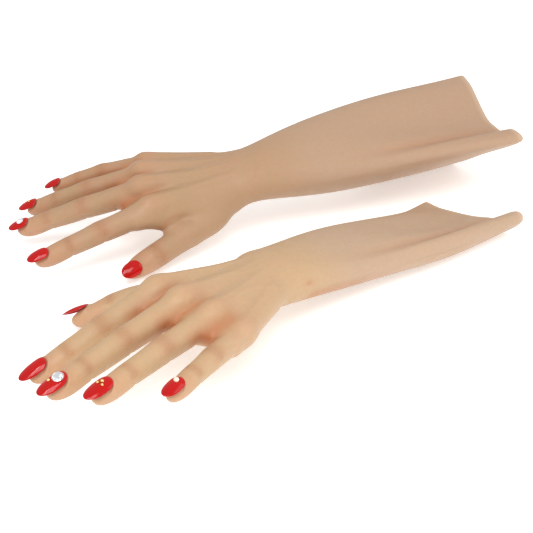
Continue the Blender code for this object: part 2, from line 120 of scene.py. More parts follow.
# Sleeve outlines: how far from the wrist, then (across, up, extra length) for eight points that go
# round from the near edge over the top to the far edge and back along the underside.
SLEEVES = {
    "right": [
        (70, [
            (-31, 38, 0), (-24, 51, 0), (-2, 62, 0), (24, 68, 0),
            (37, 57, 0), (32, 36, 0), (8, 23, 0), (-20, 24, 0),
        ]),
        (140, [
            (-39, 42, 0), (-32, 52, 0), (-6, 58, 0), (28, 73, 0),
            (44, 62, 0), (46, 20, 0), (35, -1, 0), (-16, 23, 0),
        ]),
        (210, [
            (-42, 45, 6), (-35, 53, 3), (-8, 51, 1), (30, 72, 6),
            (45, 69, 5), (49, 20, 0), (40, -2, 0), (-8, 24, 3),
        ]),
    ],
    "left": [
        (70, [
            (-27, 20, 0), (-21, 30, 0), (-1, 36, 0), (20, 35, 0),
            (28, 22, 0), (21, 8, 0), (0, 4, 0), (-19, 9, 0),
        ]),
        (140, [
            (-34, 14, 0), (-29, 23, 0), (-10, 22, 0), (15, 23, 0),
            (27, 15, 0), (23, 2, 0), (0, -2, 0), (-25, 3, 0),
        ]),
        (205, [
            (-38, 12, 9), (-33, 19, 7), (-12, 11, -4), (14, 13, -17),
            (29, 14, -20), (25, 1, -12), (0, -2, 0), (-27, 2, 7),
        ]),
    ],
}

# What the palm stands out beyond the outer fingers' roots, how far it ends short of the roots, and
# the length over which its far end is rounded.
EDGE_ROOM = 0.6
ROOT_GAP = 1.0
PALM_NOSE = 7

# Half-width of each palm at four shares of its length, how far each knuckle stands up, and the
# radius of the pad on the little finger's side of the heel.
PALM_HALF = {"right": [24.0, 24.6, 32.3, 36.8], "left": [24.0, 22.4, 28.8, 35.0]}
KNUCKLE_RISE = {"right": 2.4, "left": 1.0}
HEEL_RADIUS = {"right": 8.0, "left": 4.5}

# The length over which a digit's inner end is rounded off inside the palm.
HEEL_LENGTH = 9

# How far the middle of each thumb is bowed out of its back.
THUMB_BOW = {"right": 0.0, "left": 2.2}

# The fold between thumb and index: its ends along the thumb's and the index's axes, and its radii.
FIRST_WEB = {"thumb": (40, 0, 0), "index": (8, 0, -1), "radii": (5.0, 5.0)}

# How far past its root joint a digit's skin bend would start, then where it would end: a length and a
# share of the first bone. The script works these places out but bends nothing.
THUMB_BEND = (8.0, 8.0, 0.48)
FINGER_BEND = (2.2, 1.5, 0.5)

# The groove beside each sleeve's near ridge: where it is at its start and at the cuff, in eighths of
# the way round, its depth, and the share of the length where it begins.
GROOVES = {"right": (1.0, 1.5, 2.8, 0.28), "left": (1.1, 1.58, 2.1, 0.15)}
GROOVE_WIDTH = 0.22

# How deep stones and beads are set into the varnish.
ORNAMENT_SINK = 0.15

# Stones and beads: digit, finish, distance from the cuticle, distance aside, radius.
ORNAMENTS = {
    "left_middle_rhinestone": ("middle", "rhinestone", 5.0, 0.6, 3.0),
    "left_middle_gold_bead": ("middle", "gold", 9.6, -1.2, 0.9),
    "left_ring_gold_bead_1": ("ring", "gold", 5.5, 0.0, 1.0),
    "left_ring_gold_bead_2": ("ring", "gold", 7.2, 1.5, 0.8),
    "left_ring_gold_bead_3": ("ring", "gold", 7.4, -1.3, 0.8),
    "left_little_pearl_bead": ("little", "pearl", 5.0, 0.0, 1.4),
    "right_middle_rhinestone": ("middle", "rhinestone", 5.5, 0.0, 2.4),
    "right_ring_gold_bead": ("ring", "gold", 5.0, 0.0, 0.9),
}


# ---- Small helpers ----


def turn(axis, degrees):
    return Matrix.Rotation(math.radians(degrees), 4, axis)


def ease(value, start, end):
    """0 before start, 1 after end, and a smooth S between them."""
    part = np.clip((value - start) / (end - start), 0, 1)
    return part * part * (3 - 2 * part)


def bell(value, width):
    return np.exp(-((value / width) ** 2))


def to_local(points, place):
    """Points in a joint's own frame."""
    back = np.array(place.inverted())
    return points @ back[:3, :3].T + back[:3, 3]


def to_world(points, place):
    there = np.array(place)
    return points @ there[:3, :3].T + there[:3, 3]


def in_hand(points, side, frames):
    """Points in the hand's frame, with the thumb's side at +Y on both hands."""
    return to_local(points, frames["hand"]) * (1, MIRROR[side], 1)


def weld(first, second, reach):
    """The distance to two solids together, filleted where they are within reach of each other."""
    near = np.maximum(reach - np.abs(first - second), 0) / reach
    return np.minimum(first, second) - near * near * reach / 4


def depth(shares, sizes, power=2.0):
    """Signed distance, to first order, from the surface where the shares' powers sum to one.

    A share is a coordinate over the solid's half-size there; negative results are inside.
    """
    total = sum(share ** power for share in shares)
    level = np.maximum(total, 1e-4) ** (1 / power)
    rise = np.sqrt(sum((share ** (power - 1) / size) ** 2 for share, size in zip(shares, sizes)))
    rise = np.maximum(rise * level ** (1 - power), 0.01)
    return (level - 1) / rise


# ---- Joint frames ----


def hand_frames(side):
    """Every joint's frame from the pose's angles."""
    pose = POSES[side]
    mirror = MIRROR[side]
    yaw, pitch, roll = pose["forearm"]
    flex, deviation = pose["hand"]
    forearm = Matrix.Translation(pose["wrist"]) @ turn("Z", 180 + yaw)
    forearm = forearm @ turn("Y", pitch) @ turn("X", roll)
    hand = forearm @ turn("Y", flex) @ turn("Z", deviation)
    frames = {"forearm": forearm, "hand": hand}
    for finger, (x, y, z) in KNUCKLES.items():
        splay, knuckle, middle, end = pose[finger]
        first, second, _ = DIGITS[finger]["bones"]
        base = hand @ Matrix.Translation((x, mirror * y, z))
        base = base @ turn("Z", mirror * splay) @ turn("Y", knuckle)
        tip = base @ Matrix.Translation((first, 0, 0)) @ turn("Y", middle)
        frames[finger] = {
            "base": base,
            "root": base @ Matrix.Translation((WEB, 0, 0)),
            "tip": tip,
            "end": tip @ Matrix.Translation((second, 0, 0)) @ turn("Y", end),
            "root_at": WEB,
            "tip_at": first,
            "end_at": first + second,
            "bow": 0.0,
        }
    swing, lower, root_turn, tip_turn = pose["thumb"]
    first, second, _ = DIGITS["thumb"]["bones"]
    x, y, z = THUMB_BASE[side]
    base = hand @ Matrix.Translation((x, mirror * y, z))
    base = base @ turn("Z", mirror * swing) @ turn("Y", lower)
    root = base @ Matrix.Translation((first, 0, 0)) @ turn("Z", -mirror * root_turn)
    tip = root @ Matrix.Translation((second, 0, 0)) @ turn("Z", -mirror * tip_turn)
    roll = turn("X", -mirror * THUMB_ROLL)
    frames["thumb"] = {
        "base": base @ roll,
        "root": root @ roll,
        "tip": tip @ roll,
        "end": tip @ roll,
        "root_at": first,
        "tip_at": first + second,
        "end_at": first + second,
        "bow": THUMB_BOW[side],
    }
    return frames


# ---- The hand as a field of distances ----


def along_digit(points, place):
    """Unbent coordinates: x along the digit from its knuckle, y across it, z out of its back.

    Near each joint the coordinates pass smoothly from one bone's frame to the next one's.
    """
    chain = [("root", "root_at"), ("tip", "tip_at"), ("end", "end_at")]
    spread = to_local(points, place["base"])
    for key, at in chain:
        beyond = to_local(points, place[key])
        beyond[:, 0] += place[at]
        part = ease(beyond[:, 0], place[at] - 5, place[at] + 5)[:, None]
        spread = spread * (1 - part) + beyond * part
    crest = bell(spread[:, 0] - place["tip_at"] + 14, 17)
    spread[:, 2] -= place["bow"] * crest
    return spread


def digit_profile(name):
    """Half-width, height above and height below the axis, sampled along the digit.

    The values run through a few stations, joints wider than the bones between them and soft pads
    below, and a moving bell rounds the corners.
    """
    digit = DIGITS[name]
    w, h = digit["wide"], digit["high"]
    w_first, w_second = (w[0] + w[1]) / 2, (w[1] + w[2]) / 2
    h_first, h_second = (h[0] + h[1]) / 2, (h[1] + h[2]) / 2
    first, second, end = digit["bones"]
    last = first + second
    if name == "thumb":
        stations = [
            (-6, 6.0, 5.5, 5.5),
            (4, 7.0, 6.6, 6.8),
            (12, 9.8, 9.4, 9.6),
            (22, 11.0, 10.6, 11.2),
            (first - 8, 10.2, 9.6, 10.4),
            (first, w[0] + 0.1, h[0] + 0.1, h[0] + 0.3),
            (first + 0.5 * second, w_first - 0.5, h_first - 0.2, h_first + 0.4),
            (last, w[1] - 0.1, h[1] - 0.1, h[1]),
            (last + 0.45 * end, w[2] + 0.3, h[2] - 0.1, h[2] + 0.9),
            (last + end, w[2] - 0.4, h[2] - 0.4, h[2] + 0.4),
        ]
    else:
        stations = [
            (-8, w[0] - 0.3, h[0] - 0.4, h[0]),
            (WEB, w[0] - 0.05, h[0] - 0.1, h[0] + 0.3),
            ((WEB + first) / 2, w_first - 0.45, h_first - 0.35, h_first + 0.5),
            (first, w[1] + 0.05, h[1] + 0.1, h[1] - 0.2),
            ((first + last) / 2, w_second - 0.35, h_second - 0.3, h_second + 0.5),
            (last, w[2] + 0.1, h[2] + 0.05, h[2] - 0.1),
            (last + 0.5 * end, w[2] - 0.1, h[2] - 0.2, h[2] + 1.1),
            (last + end, w[2] - 0.4, h[2] - 0.5, h[2] + 1.2),
        ]
    columns = np.array(stations).T
    spacing, reach = 0.5, 16
    fine = np.arange(columns[0][0], columns[0][-1] + spacing, spacing)
    kernel = bell(np.arange(-reach, reach + 1) * spacing, 3.2)
    kernel /= kernel.sum()
    profile = [fine]
    for column in columns[1:]:
        values = np.pad(np.interp(fine, columns[0], column), reach, mode="edge")
        profile.append(np.convolve(values, kernel, mode="valid"))
    return profile


PROFILES = {name: digit_profile(name) for name in DIGITS}


def digit_depth(local, name):
    """Distance from a digit: an oval section along its axis, closed by a blunt nose."""
    x, y, z = local.T
    start = sum(DIGITS[name]["bones"][:2])
    end = DIGITS[name]["bones"][2]
    fine, wide, top, low = PROFILES[name]
    half = np.interp(x, fine, wide)
    high = np.where(z > 0, np.interp(x, fine, top), np.interp(x, fine, low))
    nose = np.clip((x - start) / end, 0, None)
    heel = np.clip(-x / HEEL_LENGTH, 0, None)
    return depth(
        [np.abs(y) / half, np.abs(z) / high, nose ** 2, heel],
        [half, high, end / (2 * nose + 1e-6), HEEL_LENGTH],
    )


def nail_size(side, name):
    """A nail's half-width, bed and free length. The right hand's nails are a little smaller."""
    return {key: value * NAIL_SHARE[side][key] for key, value in NAILS[name].items()}


def nail_outline(part):
    """Half-width of an almond nail, as a share of its widest, from cuticle (0) to point (1)."""
    root = np.clip(part / NAIL_WIDEST, 0, 1)
    point = np.clip((part - 0.42) / 0.58, 0, 1)
    return np.sqrt(np.clip(1 - (1 - root) ** 2.2, 0, 1)) * np.sqrt(np.clip(1 - point ** 2.3, 0, 1))


def nail_bed_edge(local, side, name):
    """How far outside the nail's outline a point is, in millimetres, seen from above."""
    size = nail_size(side, name)
    start = sum(DIGITS[name]["bones"]) - size["bed"]
    length = size["bed"] + size["free"]
    back_length = NAIL_WIDEST * length
    back = np.clip(start + back_length - local[:, 0], 0, None) / back_length
    return (np.hypot(back, local[:, 1] / size["half"]) - 1) * size["half"]


def digit_relief(local, side, name):
    """Height of the small forms on a digit: the nail's bed and fold, and the creases below."""
    x, _, z = local.T
    first, second, end = DIGITS[name]["bones"]
    last = first + second
    above = ease(z, 0.5, 3.5)
    below = ease(-z, 0, 3)
    edge = nail_bed_edge(local, side, name)
    on_bed = ease(x, last + 1, last + 4) * (1 - ease(x, last + end - 3.0, last + end)) * above
    fold = 0.55 * bell(edge - 0.9, 0.9) * on_bed
    bed = -0.35 * ease(-edge, -0.2, 0.7) * on_bed
    creases = [last] if name == "thumb" else [WEB + 1, first, last]
    lines = sum(bell(x - place, 0.9) for place in creases)
    return fold + bed - 0.45 * lines * below


def palm_edges(side, frames):
    """Where the fingers leave the palm, in the hand's frame, ordered from little finger to index."""
    roots = np.array([tuple(frames[finger]["root"].translation) for finger in KNUCKLES])
    roots = in_hand(roots, side, frames)
    return roots[np.argsort(roots[:, 1])]


def palm_depth(local, side, edges):
    """Distance from the palm: a flattened oval that widens and thins towards the finger roots.

    local is in the hand's frame with the thumb's side at +Y. Its far end follows the line of roots.
    """
    x, y, z = local.T
    reach = np.interp(y, edges[:, 1], edges[:, 0]) - ROOT_GAP
    height = np.interp(y, edges[:, 1], edges[:, 2])
    share = np.clip(x / reach, 0, 1)
    low_edge = edges[0, 1] - DIGITS["little"]["wide"][0] - EDGE_ROOM
    high_edge = edges[-1, 1] + DIGITS["index"]["wide"][0] + EDGE_ROOM
    widths = PALM_HALF[side] + [(high_edge - low_edge) / 2 - 0.8]
    half = np.interp(share, [0, 0.15, 0.5, 0.75, 1], widths)
    middle = (high_edge + low_edge) / 2 * share ** 1.3
    top = np.interp(share, [0, 0.3, 0.6, 0.8, 1], [WRIST_HALF[1], 13.9, 11.6, 9.3, 3.6])
    low = np.interp(share, [0, 0.3, 0.6, 0.85, 1], [WRIST_HALF[1], 14.8, 13.4, 11.0, 7.0])
    level = height * ease(share, 0, 1)
    rise = z - level
    high = np.where(rise > 0, top, low)
    far = np.clip((x - reach + PALM_NOSE) / PALM_NOSE, 0, None)
    squareness = 2 + 0.6 * ease(share, 0.2, 1)
    shares = [np.abs(y - middle) / half, np.abs(rise) / high, far]
    return depth(shares, [half, high, PALM_NOSE], squareness)


def capsule_depth(points, start, end, start_radius, end_radius):
    """Distance from a round bar whose radius changes evenly from one end to the other."""
    axis = np.array(end, float) - start
    part = np.clip((points - start) @ axis / (axis @ axis), 0, 1)
    gap = np.linalg.norm(points - start - part[:, None] * axis, axis=1)
    return gap - (start_radius + (end_radius - start_radius) * part)


def back_depth(local, side, edges):
    """Distance from the palm with the long bones of the back of the hand, which end in knuckles."""
    solid = palm_depth(local, side, edges)
    for name, knuckle in KNUCKLES.items():
        start = np.array([10.0, 0.42 * knuckle[1], 1.5])
        end = np.array(knuckle, float) + (1.5, 0, KNUCKLE_RISE[side])
        radius = DIGITS[name]["high"][0] + 0.9
        solid = weld(solid, capsule_depth(local, start, end, 8.6, radius), 3.0)
    radius = HEEL_RADIUS[side]
    return weld(solid, capsule_depth(local, (18, -9, -6.0), (46, -19, -5.0), radius, radius), 5)


def back_relief(local):
    """Height of the tendons and veins under the skin of the back of the hand."""
    x, y, z = local.T
    above = ease(z, 4, 9) * ease(x, 6, 26) * (1 - ease(x, 72, 88))
    relief = np.zeros(len(x))
    for knuckle in KNUCKLES.values():
        line = knuckle[1] * (0.30 + 0.70 * np.clip(x / knuckle[0], 0, 1.2))
        relief += 0.55 * bell(y - line, 2.0)
    for start, drift, wave in ((-22, 0.10, 0.11), (-4, 0.16, 0.09), (15, -0.06, 0.12)):
        relief += 0.28 * bell(y - start - drift * x - 2.5 * np.sin(wave * x + start), 1.7)
    return relief * above


def first_web_depth(points, frames):
    """Distance from the fold of skin that spans from the thumb's first bone to the index knuckle."""
    thumb_end = np.array(frames["thumb"]["base"] @ Vector(FIRST_WEB["thumb"]))
    index_end = np.array(frames["index"]["base"] @ Vector(FIRST_WEB["index"]))
    return capsule_depth(points, thumb_end, index_end, *FIRST_WEB["radii"])


def hand_depth(points, side, frames):
    """Distance from the whole hand: wrist, palm and back, thumb and fingers, filleted at the webs."""
    edges = palm_edges(side, frames)
    local = in_hand(points, side, frames)
    wrist = to_local(points, frames["forearm"])
    across, up = np.abs(wrist[:, 1:]).T
    stub = depth([across / WRIST_HALF[0], up / WRIST_HALF[1]], WRIST_HALF)
    past_wrist = ease(wrist[:, 0], 0.5, 22)
    solid = stub + past_wrist * (back_depth(local, side, edges) - back_relief(local) - stub)
    for name in ("thumb", "index", "middle", "ring", "little"):
        spread = along_digit(points, frames[name])
        lobe = digit_depth(spread, name) - digit_relief(spread, side, name)
        root = frames[name]["root_at"]
        wide, soft = (9.0, 8) if name == "thumb" else (5.0, 5)
        reach = 0.5 + wide * (1 - ease(spread[:, 0], root - soft, root + soft))
        solid = weld(solid, lobe, reach)
        if name == "thumb":
            solid = weld(solid, first_web_depth(points, frames), 7)
    return solid


# ---- From the field to a skin ----


def slope_of(field, points):
    """The field's gradient, from its values a little way off in four directions of a tetrahedron."""
    reach = 0.15
    corners = np.array([(1, -1, -1), (-1, -1, 1), (-1, 1, -1), (1, 1, 1)], float)
    total = sum(corner * field(points + corner * reach)[:, None] for corner in corners)
    return total / (4 * reach)


def settle(field, points, rounds):
    """Points moved onto the field's zero surface by Newton's steps along its gradient."""
    for _ in range(rounds):
        gradient = slope_of(field, points)
        length = np.maximum((gradient ** 2).sum(axis=1), 0.05)
        step = field(points) / length
        points = points - np.clip(step, -1.0, 1.0)[:, None] * gradient
    return points


def relax(points, faces, share):
    """Each point moved part of the way to the mean of its neighbours along the faces' edges."""
    a = faces.ravel()
    b = np.roll(faces, -1, axis=1).ravel()
    count = np.bincount(a, minlength=len(points)) + np.bincount(b, minlength=len(points))
    mean = np.empty_like(points)
    for axis in range(3):
        total = np.bincount(a, points[b, axis], len(points))
        total = total + np.bincount(b, points[a, axis], len(points))
        mean[:, axis] = total / np.maximum(count, 1)
    return points + share * (mean - points)


def net_surface(field, low, high, step):
    """A skin over the field's zero surface: a point in each grid cell that the surface crosses, and a
    quad round each grid edge that it crosses, facing out of the solid."""
    axes = [np.arange(a, b + step, step) for a, b in zip(low, high)]
    shape = tuple(len(axis) for axis in axes)
    grid = np.stack(np.meshgrid(*axes, indexing="ij"), axis=-1).reshape(-1, 3)
    chunk = 400000
    values = np.concatenate([field(grid[at:at + chunk]) for at in range(0, len(grid), chunk)])
    inside = values.reshape(shape) < 0
    cells = tuple(count - 1 for count in shape)
    corners = np.zeros(cells, int)
    for i in (0, 1):
        for j in (0, 1):
            for k in (0, 1):
                corners += inside[i:i + cells[0], j:j + cells[1], k:k + cells[2]]
    crossed = (corners > 0) & (corners < 8)
    number = np.full(cells, -1)
    number[crossed] = np.arange(crossed.sum())
    where = np.argwhere(crossed)
    points = np.array(low) + (where + 0.5) * step
    faces = []
    for axis in range(3):
        other, third = (axis + 1) % 3, (axis + 2) % 3
        ahead = np.roll(inside, -1, axis=axis)
        changed = inside != ahead
        changed[tuple(slice(-1, None) if n == axis else slice(None) for n in range(3))] = False
        at = np.argwhere(changed)
        at = at[(at[:, other] > 0) & (at[:, third] > 0)]
        at = at[(at[:, other] < cells[other]) & (at[:, third] < cells[third])]
        ring = []
        for a, b in ((-1, -1), (0, -1), (0, 0), (-1, 0)):
            cell = at.copy()
            cell[:, other] += a
            cell[:, third] += b
            ring.append(number[tuple(cell.T)])
        quads = np.array(ring).T
        outward = inside[tuple(at.T)]
        quads[~outward] = quads[~outward][:, ::-1]
        faces.append(quads)
    faces = np.concatenate(faces)
    for _ in range(3):
        points = settle(field, relax(points, faces, 0.7), 1)
    return settle(field, points, 2), faces


def unit(vectors):
    return vectors / np.maximum(np.linalg.norm(vectors, axis=-1, keepdims=True), 1e-9)


# ---- Meshes ----


def make_piece(name, points, faces, material, normals=None, values=None, flat=False):
    """A mesh object from points in millimetres. values are named numbers per point."""
    mesh = bpy.data.meshes.new(name)
    mesh.from_pydata((np.asarray(points) * MM).tolist(), [], [list(face) for face in faces])
    mesh.shade_flat() if flat else mesh.shade_smooth()
    for key, column in (values or {}).items():
        attribute = mesh.attributes.new(key, "FLOAT", "POINT")
        attribute.data.foreach_set("value", np.asarray(column, np.float32))
    mesh.materials.append(material)
    if normals is not None:
        mesh.normals_split_custom_set_from_vertices(normals.tolist())
    piece = bpy.data.objects.new(name, mesh)
    bpy.context.scene.collection.objects.link(piece)
    return piece


def face_out(piece):
    """Turns a closed mesh's faces outwards."""
    body = bmesh.new()
    body.from_mesh(piece.data)
    bmesh.ops.recalc_face_normals(body, faces=body.faces)
    body.to_mesh(piece.data)
    body.free()


def tube_faces(rows, around, closed_rows=False):
    """Quads between neighbouring rings of a grid of points, and from the last ring to the first."""
    row = np.arange(rows if closed_rows else rows - 1)[:, None]
    column = np.arange(around)[None, :]
    after = (column + 1) % around
    above = (row + 1) % rows
    row, above = row * around, above * around
    corners = [row + column, row + after, above + after, above + column]
    return np.stack(corners, axis=-1).reshape(-1, 4).tolist()


def capped_faces(rows, around):
    """The faces of a stack of rings with a pole before the first ring and one after the last."""
    faces = tube_faces(rows, around)
    first, last = rows * around, rows * around + 1
    for column in range(around):
        after = (column + 1) % around
        faces.append([column, first, after])
        faces.append([(rows - 1) * around + column, (rows - 1) * around + after, last])
    return faces


# ---- Hand pieces ----


def surface_values(points, side, frames):
    """What the skin's material needs to know at each point.

    The value for crevices is painted shade, stronger the closer another digit or a web is: the shade
    that falls between the digits, in the webs and in the valleys between the knuckles. fold_phase and
    fold: the place along the digit from its nearest joint, and how wrinkled the skin is there. flush:
    knuckles and fingertips.
    """
    spreads = {name: along_digit(points, frames[name]) for name in DIGITS}
    depths = np.array([digit_depth(spreads[name], name) for name in DIGITS])
    second = np.sort(depths, axis=0)[1]
    local = in_hand(points, side, frames)
    gap = np.maximum(second, 0)
    # Painted shade: darker where another digit is close, in the first web and along the valleys between
    # the knuckles.
    crevice_shade = np.minimum(bell(gap, 3.6) + 0.3 * bell(gap, 9.0), 1) * ease(local[:, 0], 56, 82)
    first_web = bell(gap, 6.5) * ease(spreads["thumb"][:, 0], 18, 34)
    crevice_shade = np.maximum(crevice_shade, 0.7 * first_web)
    edges = palm_edges(side, frames)
    for web in (edges[1:] + edges[:-1]) / 2:
        valley = capsule_depth(local, web * (1, 0.95, 1) + (-17, 0, 4), web + (5, 0, 0), 0.0, 0.0)
        crevice_shade = np.maximum(crevice_shade, 0.9 * bell(valley, 6.5))
    phase = np.zeros(len(points))
    fold = np.zeros(len(points))
    flush = np.zeros(len(points))
    for row, name in enumerate(DIGITS):
        own = depths.argmin(axis=0) == row
        x, _, z = spreads[name].T
        first, second, _ = DIGITS[name]["bones"]
        last = first + second
        joints = [last] if name == "thumb" else [first, last]
        above = ease(z, 0, 4)
        for joint, spread in zip(joints, (4.6, 3.0) if len(joints) == 2 else (4.0,)):
            near = own & (np.abs(x - joint) < 9)
            phase = np.where(near, x - joint, phase)
            fold = np.where(near, bell(x - joint, spread) * above, fold)
            flush = np.maximum(flush, np.where(own, 0.55 * bell(x - joint, 6) * above, 0))
        edge = nail_bed_edge(spreads[name], side, name)
        flush = np.maximum(flush, np.where(own, 0.9 * ease(x, last + 1, last + 9), 0))
        flush = np.maximum(flush, np.where(own & (x > last), bell(np.maximum(edge, 0), 1.2), 0))
        if name != "thumb":
            away = np.linalg.norm(local - np.array(KNUCKLES[name]) - (0, 0, 9), axis=1)
            flush = np.maximum(flush, 0.5 * bell(away, 10))
    return {"crevice_shade": crevice_shade, "fold_phase": phase, "fold": fold, "flush": flush}


def digit_owner(centres, side, frames):
    """For each point, the digit whose skin it is on and how far beyond that digit's root joint."""
    edges = palm_edges(side, frames)
    closest = back_depth(in_hand(centres, side, frames), side, edges)
    owner = np.full(len(centres), -1)
    beyond = np.zeros(len(centres))
    for row, name in enumerate(DIGITS):
        spread = along_digit(centres, frames[name])
        past = to_local(centres, frames[name]["root"])[:, 0]
        near = digit_depth(spread, name)
        mine = (past > 1.0) & (near < closest)
        closest = np.where(mine, near, closest)
        owner = np.where(mine, row, owner)
        beyond = np.where(mine, past, beyond)
    return owner, beyond


def part_of_skin(name, skin, chosen, material):
    """The chosen faces of the hand's skin as a piece of its own, with the skin's own normals."""
    points, faces, normals, values = skin
    picked = faces[chosen]
    used, back = np.unique(picked, return_inverse=True)
    kept = {key: column[used] for key, column in values.items()}
    quads = back.reshape(picked.shape).tolist()
    return make_piece(name, points[used], quads, material, normals[used], kept)


def at_root(place, distance):
    """A point in metres on a digit's axis, this far beyond its root joint."""
    return (place["root"] @ Vector((distance, 0, 0))) * MM


def build_hand_skin(side, frames, material):
    """The skin of one hand, cut into the palm and, for each digit, a root piece and a tip piece."""

    def field(points):
        return hand_depth(points, side, frames)

    marks = [frames[name]["end"] @ Vector((DIGITS[name]["bones"][2], 0, 0)) for name in DIGITS]
    marks += [frames["forearm"].translation] + [frames["hand"] @ Vector((60, y, 0)) for y in (-34, 34)]
    marks = np.array([tuple(mark) for mark in marks])
    low = marks.min(axis=0) - (6, 24, 22)
    high = marks.max(axis=0) + (10, 24, 20)
    points, faces = net_surface(field, low, high, SKIN_STEP)
    centres = points[faces].mean(axis=1)
    ahead = to_local(centres, frames["forearm"])[:, 0]
    faces = faces[ahead > -2.5]
    centres = centres[ahead > -2.5]
    normals = unit(slope_of(field, points))
    skin = (points, faces, normals, surface_values(points, side, frames))
    owner, beyond = digit_owner(centres, side, frames)
    palm = part_of_skin(f"{side}_palm_skin", skin, owner < 0, material)
    start = (frames["forearm"] @ Vector((0.5, 0, 0))) * MM
    end = (frames["forearm"] @ Vector((20, 0, 0))) * MM
    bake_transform(palm)
    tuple(start)
    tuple(end)
    finish_piece(f"{side}_palm")
    for row, name in enumerate(DIGITS):
        place = frames[name]
        span = place["tip_at"] - place["root_at"]
        soft = min(0.38 * span, 7.5)
        cut = span - soft
        root = part_of_skin(f"{side}_{name}_root_skin", skin, (owner == row) & (beyond <= cut), material)
        bend_from, bend_base, bend_share = THUMB_BEND if name == "thumb" else FINGER_BEND
        start, end = at_root(place, bend_from), at_root(place, bend_base + bend_share * span)
        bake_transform(root)
        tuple(start)
        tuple(end)
        finish_piece(f"{side}_{name}_root")
        tip = part_of_skin(f"{side}_{name}_tip_skin", skin, (owner == row) & (beyond > cut), material)
        start, end = at_root(place, cut), at_root(place, span + soft)
        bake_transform(tip)
        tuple(start)
        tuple(end)
        finish_piece(f"{side}_{name}_tip")


def finish_piece(node):
    """Hides the plain solid that a piece stands for."""
    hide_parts(node)


def nail_level(name, aside, share):
    """Height of a nail's middle surface over the digit's axis, at a share of the nail's length.

    It follows the digit's oval across, drops with the square of the share and arches by a sine.
    """
    wide = DIGITS[name]["wide"][2] + NAIL_LIFT
    high = DIGITS[name]["high"][2] + NAIL_LIFT
    crown = high * np.sqrt(1 - (aside / wide) ** 2)
    arch = NAIL_ARCH * np.sin(math.pi * share)
    return crown - NAIL_DIP * share ** 2 + arch + NAIL_REST


def build_nail(side, name, place, material):
    """An almond nail: lens-shaped cross-sections along its length, bent over the digit's oval.

    Across a section the angle runs round the lens, and the thickness shrinks towards the cuticle
    and the free edge.
    """
    size = nail_size(side, name)
    start = DIGITS[name]["bones"][2] - size["bed"]
    high = DIGITS[name]["high"][2] + NAIL_LIFT
    rows, around = ((48, 44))
    length = size["bed"] + size["free"]
    part = (1 - np.cos(np.linspace(0, math.pi, rows + 2)[1:-1, None])) / 2
    angle = np.linspace(0, 2 * math.pi, around, endpoint=False)[None, :]
    half = size["half"] * nail_outline(part)
    side_way = half * np.cos(angle)
    body = 0.5 * NAIL_THICKNESS * ease(part, -0.08, 0.14) * (1 - 0.45 * ease(part, 0.7, 1.0))
    lens = np.sign(np.sin(angle)) * np.abs(np.sin(angle)) ** 0.75
    along = start + part * length + 0 * angle
    level = nail_level(name, side_way, part) + body * lens
    rings = np.stack([along, side_way, level], axis=2)
    poles = [(start, 0, high + 0.15), (start + length, 0, high - NAIL_DIP + NAIL_REST)]
    points = np.concatenate([rings.reshape(-1, 3), np.array(poles)])
    rim = 1 - np.clip((1 - np.abs(np.cos(angle))) * half / 1.2, 0, 1)
    values = {
        "along": np.append(np.broadcast_to(part, rings.shape[:2]).ravel(), [0, 1]),
        "rim": np.append((rim * np.ones_like(part)).ravel(), [1, 1]),
    }
    points = to_world(points, place["end"])
    faces = capped_faces(rows, around)
    piece = make_piece(f"{side}_{name}_nail_plate", points, faces, material, values=values)
    face_out(piece)
    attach(piece, f"{side}_{name}_tip")
    finish_piece(f"{side}_{name}_nail")


# ---- Stones and beads ----


def gem_rings(radius, height):
    """A brilliant cut: table, star and crown facets, girdle and base, as rings of sixteen points."""
    angle = np.linspace(0, 2 * math.pi, 16, endpoint=False)
    odd = np.arange(16) % 2
    rows = [
        (0.0, 0.90 + 0 * angle),
        (0.22, 1.0 + 0 * angle),
        (0.34, 1.0 + 0 * angle),
        (0.74, 0.82 - 0.07 * odd),
        (1.0, 0.54 + 0.035 * (1 - odd)),
    ]
    across, up, level = radius * np.cos(angle), radius * np.sin(angle), height + 0 * angle
    rings = [np.stack([share * across, share * up, rise * level], 1) for rise, share in rows]
    return np.array(rings)


def ball_rings(radius):
    """Rings of a ball from its foot to its crown."""
    lift = np.radians(np.linspace(-80, 80, 15))[:, None]
    angle = np.linspace(0, 2 * math.pi, 24, endpoint=False)[None, :]
    ring = radius * np.cos(lift)
    height = radius * np.sin(lift) + 0 * angle
    return np.stack([ring * np.cos(angle), ring * np.sin(angle), height], axis=2)


def stacked(rings):
    """Points and faces of a stack of rings, closed by a pole at the middle of each end ring."""
    points = np.concatenate([rings.reshape(-1, 3), [rings[0].mean(axis=0), rings[-1].mean(axis=0)]])
    return points, capped_faces(*rings.shape[:2])


def joined(parts):
    """Several closed shapes as one list of points and faces."""
    points, faces, start = [], [], 0
    for some_points, some_faces in parts:
        points.append(some_points)
        faces += [[corner + start for corner in face] for face in some_faces]
        start += len(some_points)
    return np.concatenate(points), faces


def bezel(radius, height):
    """A plain collar round a stone: a small round section carried round a circle."""
    angle = np.linspace(0, 2 * math.pi, 32, endpoint=False)[:, None]
    section = np.linspace(0, 2 * math.pi, 8, endpoint=False)[None, :]
    thick = 0.11 * radius
    out = radius * 0.98 + thick * np.cos(section)
    level = height + thick * np.sin(section) + 0 * angle
    grid = np.stack([out * np.cos(angle), out * np.sin(angle), level], axis=2)
    return grid.reshape(-1, 3), tube_faces(32, 8, closed_rows=True)


